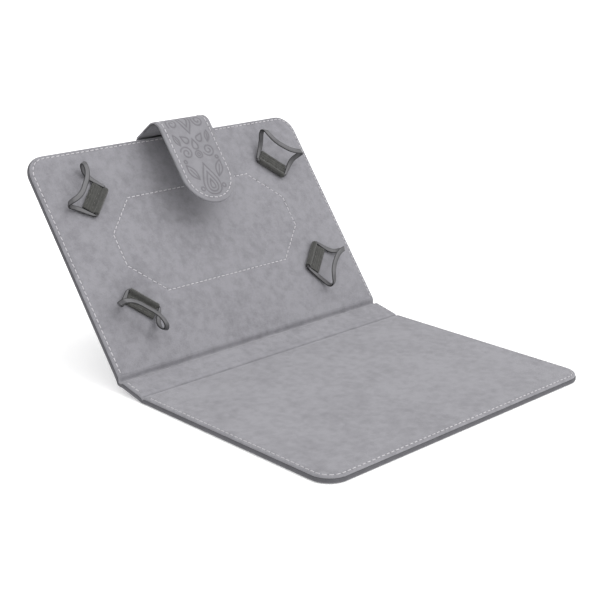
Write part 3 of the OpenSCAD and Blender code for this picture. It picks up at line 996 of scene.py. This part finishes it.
@dataclass(frozen=True)
class Strap:
    """The closing strap, made flat along its length and then bent over the top edge."""

    half: float = 25.0
    half_t: float = 1.3
    tab: float = 36.0
    root_r: float = 2.2
    riser: float = 20.2
    tip_r: float = 9.0
    tail: float = 66.4
    root_v: float = 180.2
    seam: float = 4.0
    lining_top: float = -0.65
    lining_in: float = 0.7

    def total(self) -> float:
        """Return the length of the strap's middle line."""
        return self.tab + (self.root_r + self.tip_r) * math.pi / 2 + self.riser + self.tail

    def split(self) -> float:
        """Return where the strap's two pieces meet, half way up the riser."""
        return self.tab + self.root_r * math.pi / 2 + self.riser / 2

    def bent(self, x: float, s: float, t: float) -> Vector:
        """Turn a flat point into the panel's frame.

        Args:
            x: place across the strap.
            s: distance along the strap from its sewn end.
            t: height above the strap's middle, towards its outer side.

        Returns:
            The point in the panel's frame.
        """
        root_arc = self.root_r * math.pi / 2
        tip_arc = self.tip_r * math.pi / 2
        w = -self.half_t
        if s <= self.tab:
            return Vector((x, self.root_v - self.tab + s, w - t))
        s -= self.tab
        if s <= root_arc:
            a = s / self.root_r - math.pi / 2
            r = self.root_r + t
            return Vector((x, self.root_v + r * math.cos(a), w + self.root_r + r * math.sin(a)))
        s -= root_arc
        out = self.root_v + self.root_r
        if s <= self.riser:
            return Vector((x, out + t, w + self.root_r + s))
        s -= self.riser
        high = w + self.root_r + self.riser
        if s <= tip_arc:
            a = s / self.tip_r
            r = self.tip_r + t
            return Vector((x, out - self.tip_r + r * math.cos(a), high + r * math.sin(a)))
        s -= tip_arc
        return Vector((x, out - self.tip_r - s, high + self.tip_r + t))

    def edge_distance(self, x: float, s: float) -> float:
        """Return how far a flat point is inside the strap's outline."""
        past = s - (self.total() - self.half)
        if past <= 0:
            return self.half - abs(x)
        return self.half - math.hypot(x, past)

    def rows(self, start: float, end: float) -> list[float]:
        """Return places along the strap, close together where it is pressed or round."""
        round_start = self.total() - self.half
        found = []
        s = start
        while s < min(end, round_start):
            found.append(s)
            s += 0.55 if s > self.tab + self.root_r * 1.57 + 4 else 1.5
        if end <= round_start:
            return found + [end]
        found += [round_start + self.half * math.sin(math.pi / 2 * k / 70) for k in range(70)]
        return found

    def edge_drop(self, x: float, s: float, inset: float, soft: float) -> float:
        """Return how far a face falls away at a place, where the strap's edge is rounded.

        Args:
            x: place across the strap.
            s: distance along it.
            inset: how far the piece lies inside the strap's outline.
            soft: radius of its rounded edge.

        Returns:
            The drop, from 0 to the radius.
        """
        d = max(0.0, min(soft, self.edge_distance(x, s) - inset))
        return soft - math.sqrt(max(0.0, soft * soft - (soft - d) ** 2))

    def flat_loft(self, name: str, start: float, end: float, low: float, high: float, inset: float,
                  tops: Callable[[float, float], float], sides: int) -> bpy.types.Object:
        """Make a flat length of the strap.

        Args:
            name: name of the piece.
            start: where it starts along the strap.
            end: where it ends.
            low: height of its inner face.
            high: height of its outer face.
            inset: how far it lies inside the strap's outline.
            tops: height to add to the outer face at a place.
            sides: number of steps across its outer face.

        Returns:
            The piece with x across, y along and z towards the outer side.
        """
        rings = []
        soft = min(0.9, (high - low) / 2)
        for s in self.rows(start, end):
            past = max(0.0, s - (self.total() - self.half))
            half = math.sqrt(max((self.half - inset) ** 2 - past * past, 0.01))
            ring = []
            for k in range(sides + 1):
                x = half * (2 * k / sides - 1)
                ring.append(Vector((x, s, high - self.edge_drop(x, s, inset, soft) + tops(x, s))))
            for k in range(12, -1, -1):
                x = half * (k / 6 - 1)
                ring.append(Vector((x, s, low + self.edge_drop(x, s, inset, soft) * 0.9)))
            rings.append(ring)
        return loft(name, rings)

    def bend(self, piece: bpy.types.Object) -> bpy.types.Object:
        """Bend a flat piece over the panel's top edge."""
        for vertex in piece.data.vertices:
            vertex.co = self.bent(*vertex.co)
        pick(piece)
        bpy.ops.object.mode_set(mode="EDIT")
        bpy.ops.mesh.select_all(action="SELECT")
        bpy.ops.mesh.normals_make_consistent(inside=False)
        bpy.ops.object.mode_set(mode="OBJECT")
        return piece

    def blended(self, piece: bpy.types.Object, start: float, end: float) -> None:
        """Bake a piece's place into its mesh."""
        ends = [SIZES.panel() @ self.bent(0, s, 0) * MM for s in (start, end)]
        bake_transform(piece)

    def pattern_tree(self) -> kdtree.KDTree:
        """Return the pressed lines as a searchable set of points."""
        points = [p for mark in PATTERN for p in mark.line()]
        tree = kdtree.KDTree(len(points))
        for n, point in enumerate(points):
            tree.insert((point.x, self.total() - point.y, 0), n)
        tree.balance()
        return tree

    def seam_dip(self, x: float, s: float) -> float:
        """Return how deep the strap's seam presses its outer face at a place."""
        return 0.22 * math.exp(-(((self.edge_distance(x, s) - self.seam) / 0.6) ** 2))

    def build(self) -> None:
        """Make the strap's two outer pieces, its lining and its seams."""
        tree = self.pattern_tree()
        magnet_s = self.total() - 18

        def pressed(x: float, s: float) -> float:
            """Return the outer face's relief: pattern, seam and magnet."""
            near = tree.find((x, s, 0))[2]
            bulge = 0.18 * smoothstep((9.5 - math.hypot(x, s - magnet_s)) / 2.5)
            return bulge - 0.3 * math.exp(-((near / 0.5) ** 2)) - self.seam_dip(x, s)

        def pressed_line_darkening(at: Vector) -> float:
            """Return how dark the pattern is at a place, on the outer face only."""
            near = tree.find((at.x, at.y, 0))[2]
            return math.exp(-((near / 0.6) ** 2)) if at.z > 0.5 else 0.0

        def plain(x: float, s: float) -> float:
            """Return the relief of the sewn end, which has only its seam."""
            return -self.seam_dip(x, s)

        root = self.flat_loft("strap_sewn_end", 0, self.split(), -self.half_t, self.half_t, 0, plain, 60)
        settle(self.bend(root), SIZES.panel(), NUBUCK, None, ["strap_tab", "strap_riser"])
        self.blended(root, self.tab - 2.5, self.tab + 6.5)

        tail = self.flat_loft("strap_tail_skin", self.split(), self.total(), self.lining_top, self.half_t, 0,
                              pressed, 96)
        marked(tail, pressed_line_darkening)
        settle(self.bend(tail), SIZES.panel(), EMBOSSED, None, ["strap_outer"])
        start, end = self.total() - self.tail - 13.5, self.total() - self.tail - 0.5
        self.blended(tail, start, end)

        lining = self.flat_loft("strap_lining_cloth", self.split(), self.total(), -self.half_t,
                                self.lining_top, self.lining_in, lambda x, s: 0.0, 12)
        settle(self.bend(lining), SIZES.panel(), SUEDE, None, ["strap_lining"])
        self.blended(lining, start, end)

        self.sew(start, end)

    def sew(self, start: float, end: float) -> None:
        """Sew the seam round the tail and the box of stitches on the sewn end."""
        x = self.half - self.seam
        round_s = self.total() - self.half
        z = self.half_t - 0.12
        arc = [Vector((-x * math.cos(math.pi * k / 40), round_s + x * math.sin(math.pi * k / 40), z))
               for k in range(41)]
        line = [Vector((-x, self.split() + 2 + k, z)) for k in range(int(round_s - self.split() - 2))]
        back = [Vector((-p.x, p.y, p.z)) for p in reversed(line)]
        seam = Stitch().seam("strap_seam", [line + arc + back])
        settle(self.bend(seam), SIZES.panel(), THREAD, None, ["strap_thread"], 60)
        self.blended(seam, start, end)
        low, high = 4.0, self.tab - 4
        corners = [Vector((-x, low, z)), Vector((x, low, z)), Vector((x, high, z)), Vector((-x, high, z))]
        box = [[corners[k - 1], corners[k]] for k in range(4)]
        box += [[corners[0], corners[2]], [corners[1], corners[3]]]
        sewn = Stitch().seam("strap_end_seam", box)
        settle(self.bend(sewn), SIZES.panel(), THREAD, "back_panel", angle=60)


# ------------------------------------------------------------------ stand


@dataclass(frozen=True)
class Stand:
    """The stand leg at the rear, the patch it is sewn to and its ribbon."""

    width: float = 96.0
    length: float = 109.2
    half_t: float = 1.8
    patch_t: float = 1.4
    corner_r: float = 14.0

    def patch(self) -> None:
        """Make the eight-sided patch with the anchor seam through it."""
        centre = Vector((0, SIZES.anchor_v))
        rays = [Vector(point) for point in circle(1, 360)]
        outer = -self.patch_t
        rings = []
        for grow, z in ((6.0, 0.0), (6.0, -0.7), (5.7, -1.2), (5.2, outer), (0.8, outer), (0.3, -1.2),
                        (0.0, -1.1), (-0.3, -1.2), (-0.8, outer)):
            corners = octagon(grow, 0.5)
            ring = [cast(corners, ray) for ray in rays]
            rings.append([Vector((p.x, p.y + centre.y, z)) for p in ring])
        settle(loft("patch_skin", rings), SIZES.panel(), NUBUCK, "back_panel", ["stand_patch"])
        for name, z, replaced, up in (("patch_seam", -1.25, [], -1),
                                      ("anchor_seam", SIZES.total_t - 0.16, ["anchor_thread"], 1)):
            line = [Vector((x, y + centre.y, z)) for x, y in octagon()]
            Stitch().sew(name, [line + line[:1]], SIZES.panel(), "back_panel", replaced, up)

    def leg(self) -> None:
        """Make the leg's skin and lining around its board, with a seam."""
        o = Outline(self.width / 2, 1.9, self.length, self.corner_r, step=1.6)
        t = self.half_t
        skin = [o.ring(0.9, -0.6), o.ring(0.0, -0.9), o.ring(0.0, 0.8), o.ring(0.3, 1.5), o.ring(1.0, t),
                o.ring(3.3, t), o.puckered(4, t, 0.2, 0.06), o.ring(4.7, t), o.ring(7, t)]
        skin.insert(0, o.ring(0.9, t - 0.8))
        settle(loft("leg_outer_skin", skin), SIZES.leg(), NUBUCK, "stand_leg", ["leg_skin"])
        lining = [o.ring(1.0, -0.95), o.ring(0.3, -1.0), o.ring(0.3, -1.4), o.ring(0.9, -t),
                  o.ring(3.3, -t), o.puckered(4, -t, -0.15, -0.05), o.ring(4.7, -t), o.ring(7, -t)]
        piece = settle(loft("leg_lining_cloth", lining), SIZES.leg(), SUEDE, "stand_leg", ["leg_lining"])
        stiff = loft("leg_stiffener", [o.ring(1.0, -0.94), o.ring(1.0, 0.94)])
        settle(stiff, SIZES.leg(), BOARD, "stand_leg", ["leg_board"])
        for name, z, up in (("leg_seam", t - 0.14, 1), ("leg_inner_seam", -t + 0.36, -1)):
            Stitch().sew(name, o.seam_lines(4, z), SIZES.leg(), "stand_leg", up=up)

    def swept(self, name: str, line: Sequence[Vector], half_w: float, half_t: float) -> bpy.types.Object:
        """Sweep a flat band of cloth along a line in the case's side view.

        Args:
            name: name of the piece.
            line: points in the plane x = 0, in millimetres.
            half_w: half the band's width along x.
            half_t: half its thickness.

        Returns:
            The band.
        """
        rings = []
        xs = [half_w * (2 * k / 24 - 1) for k in range(25)]
        places = [(x, 1) for x in xs] + [(x, -1) for x in reversed(xs)]
        for n, here in enumerate(line):
            run = (line[min(n + 1, len(line) - 1)] - line[max(n - 1, 0)]).normalized()
            off = Vector((0, -run.z, run.y)) * half_t
            rings.append([here + off * side * (0.5 if abs(x) > half_w - 0.1 else 1) + Vector((x, 0, 0))
                          for x, side in places])
        return loft(name, rings)

    def hinge(self) -> None:
        """Make the skin that runs from the anchor seam over the leg's rolled edge."""
        panel, leg = SIZES.panel(), SIZES.leg()
        centre = leg.translation
        r = self.half_t + 0.1
        skin_w = -2.1
        first = panel @ Vector((0, 127.5, skin_w)) - centre
        last = leg @ Vector((0, 0, r)) - centre
        a0, a1 = math.atan2(first.z, first.y), math.atan2(last.z, last.y)
        line = [panel @ Vector((0, v, skin_w)) for v in (134.8, 133, 131, 129.5)]
        for k in range(13):
            a = a0 + (a1 - a0) * k / 12
            reach = first.length + (r - first.length) * smoothstep(k / 8)
            line.append(centre + Vector((0, math.cos(a), math.sin(a))) * reach)
        line += [leg @ Vector((0, y, r - 0.05)) for y in (1.5, 3.0, 5.0)]
        piece = self.swept("leg_hinge_skin", line, self.width / 2, 0.55)
        settle(piece, Matrix.Identity(4), NUBUCK, None, ["stand_anchor"])
        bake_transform(piece)
        end = self.width / 2 - 0.2
        roll = [[Vector((x, y, z)) for y, z in circle(1.5, 24)] for x in (-end, 0, end)]
        settle(loft("leg_rolled_edge", roll), leg, NUBUCK, "stand_leg")
        lines = [[Vector((-44, v, -2.62)), Vector((44, v, -2.62))] for v in (129.0, 133.2)]
        Stitch().sew("leg_hinge_seam", lines, panel, "back_panel", up=-1)

    def ribbon(self) -> None:
        """Make the ribbon that stops the leg."""
        start = SIZES.panel() @ Vector((0, 58, -self.patch_t))
        end = SIZES.leg() @ Vector((0, 68, -self.half_t))
        line = []
        for k in range(25):
            t = k / 24
            line.append(start.lerp(end, 0.01 + 0.98 * t) - Vector((0, 0, 0.9 * math.sin(math.pi * t))))
        piece = settle(self.swept("stay_ribbon_tape", line, 7, 0.3), Matrix.Identity(4), RIBBON,
                       "back_panel", ["leg_ribbon"])
        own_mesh(piece)

    def build(self) -> None:
        """Make all of the stand's pieces."""
        self.patch()
        self.leg()
        self.hinge()
        self.ribbon()


# ------------------------------------------------------------------ studio


@dataclass(frozen=True)
class Studio:
    """Plain pale floor, soft lights and the camera, in metres and degrees."""

    azimuth: float = -43.2
    elevation: float = 20.54
    distance: float = 0.993
    focus: float = 1303.0
    pixels: float = 600.0
    sensor: float = 36.0
    shift: tuple[float, float] = (20.0, 58.0)

    def toward(self, azimuth: float, elevation: float) -> Vector:
        """Return the direction to a place around the object."""
        a, e = math.radians(azimuth), math.radians(elevation)
        return Vector((math.sin(a) * math.cos(e), -math.cos(a) * math.cos(e), math.sin(e)))

    def aim(self, item: bpy.types.Object, back: Vector) -> None:
        """Turn a camera or a lamp to look against a direction."""
        item.rotation_mode = "QUATERNION"
        item.rotation_quaternion = (-back).to_track_quat("-Z", "Y")

    def camera(self) -> None:
        """Place the camera."""
        start_clean()
        target = Vector((0, 0.092, 0))
        back = self.toward(self.azimuth, self.elevation)
        bpy.ops.object.camera_add(location=target + back * self.distance)
        camera = bpy.context.object
        self.aim(camera, back)
        camera.data.sensor_width = self.sensor
        camera.data.lens = self.sensor * self.focus / self.pixels
        camera.data.shift_x, camera.data.shift_y = (part / self.pixels for part in self.shift)
        camera.data.clip_end = 50
        bpy.context.scene.camera = camera

    def sky_lamp(self, name: str, azimuth: float, elevation: float, energy: float, spread: float) -> None:
        """Hang a large far light that shines evenly on the whole floor."""
        start_clean()
        back = self.toward(azimuth, elevation)
        bpy.ops.object.light_add(type="SUN", location=back * 3)
        lamp = bpy.context.object
        lamp.name = name
        self.aim(lamp, back)
        lamp.data.angle = math.radians(spread)
        lamp.data.energy = energy

    def build(self) -> None:
        """Make the floor, the lights, the surroundings and the camera."""
        self.camera()
        start_clean()
        bpy.ops.mesh.primitive_plane_add(size=30, location=(0, 0, -0.0002))
        floor = bpy.context.object
        floor.name = "studio_floor"
        paper = Finish("studio_paper", (0.93, 0.93, 0.93), (0.9, 0.9, 0.9), "floor", mottle=2, grain=50,
                       fibre=100, bump=0.00001, rough=0.9)
        lit = paper.material()
        shader = lit.node_tree.nodes["Principled BSDF"]
        shader.inputs["Emission Color"].default_value = (1, 1, 1, 1)
        shader.inputs["Emission Strength"].default_value = 0.25
        floor.data.materials.append(lit)
        self.sky_lamp("key_light", 42, 52, 1.6, 56)
        self.sky_lamp("top_light", 0, 80, 0.5, 80)
        world = bpy.data.worlds.new("studio_air")
        world.use_nodes = True
        air = world.node_tree.nodes["Background"].inputs
        air["Color"].default_value = (1, 1, 1, 1)
        air["Strength"].default_value = 1.0
        bpy.context.scene.world = world
        bpy.context.scene.view_settings.view_transform = "Standard"


def dress_nodes() -> None:
    """Give every CAD node that stays in view its finish."""
    finishes = {"front_board": BOARD, "spine_board": BOARD, "back_board": BOARD,
                "strap_core": STRAP_CORE, "closure_plate": STEEL, "strap_magnet": NICKEL}
    finishes.update({f"band_{corner.label}": BAND_TAPE for corner in CORNERS})
    for name, finish in finishes.items():
        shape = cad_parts[name].data
        shape.materials.clear()
        shape.materials.append(finish.material())


def main() -> None:
    """Build the case, its stand and the studio."""
    logging.basicConfig(level=logging.INFO, format="%(name)s %(message)s")
    Studio().build()
    dress_nodes()
    s = SIZES
    half, back = s.width / 2, s.fold_setback
    Cover("front", "front_cover", Outline(half, back, s.cover_depth, s.corner_r), s.cover()).build()
    spine = Outline(half, back, s.spine_depth - back, 0, far_free=False)
    Cover("spine", "spine", spine, s.spine()).build()
    Cover("back", "back_panel", Outline(half, back, s.panel_depth, s.corner_r), s.panel(), True).build()
    Fold("lower_fold", ("front_cover", "spine"), s.fold_one(), s.spine_angle, 1.5, 0.9).build()
    Fold("upper_fold", ("spine", "back_panel"), s.fold_two(), s.panel_angle - s.spine_angle, 1.9, 2.6).build()
    for corner in CORNERS:
        corner.build()
    Strap().build()
    Stand().build()
    bpy.context.view_layer.update()


if __name__ == "__main__":
    main()
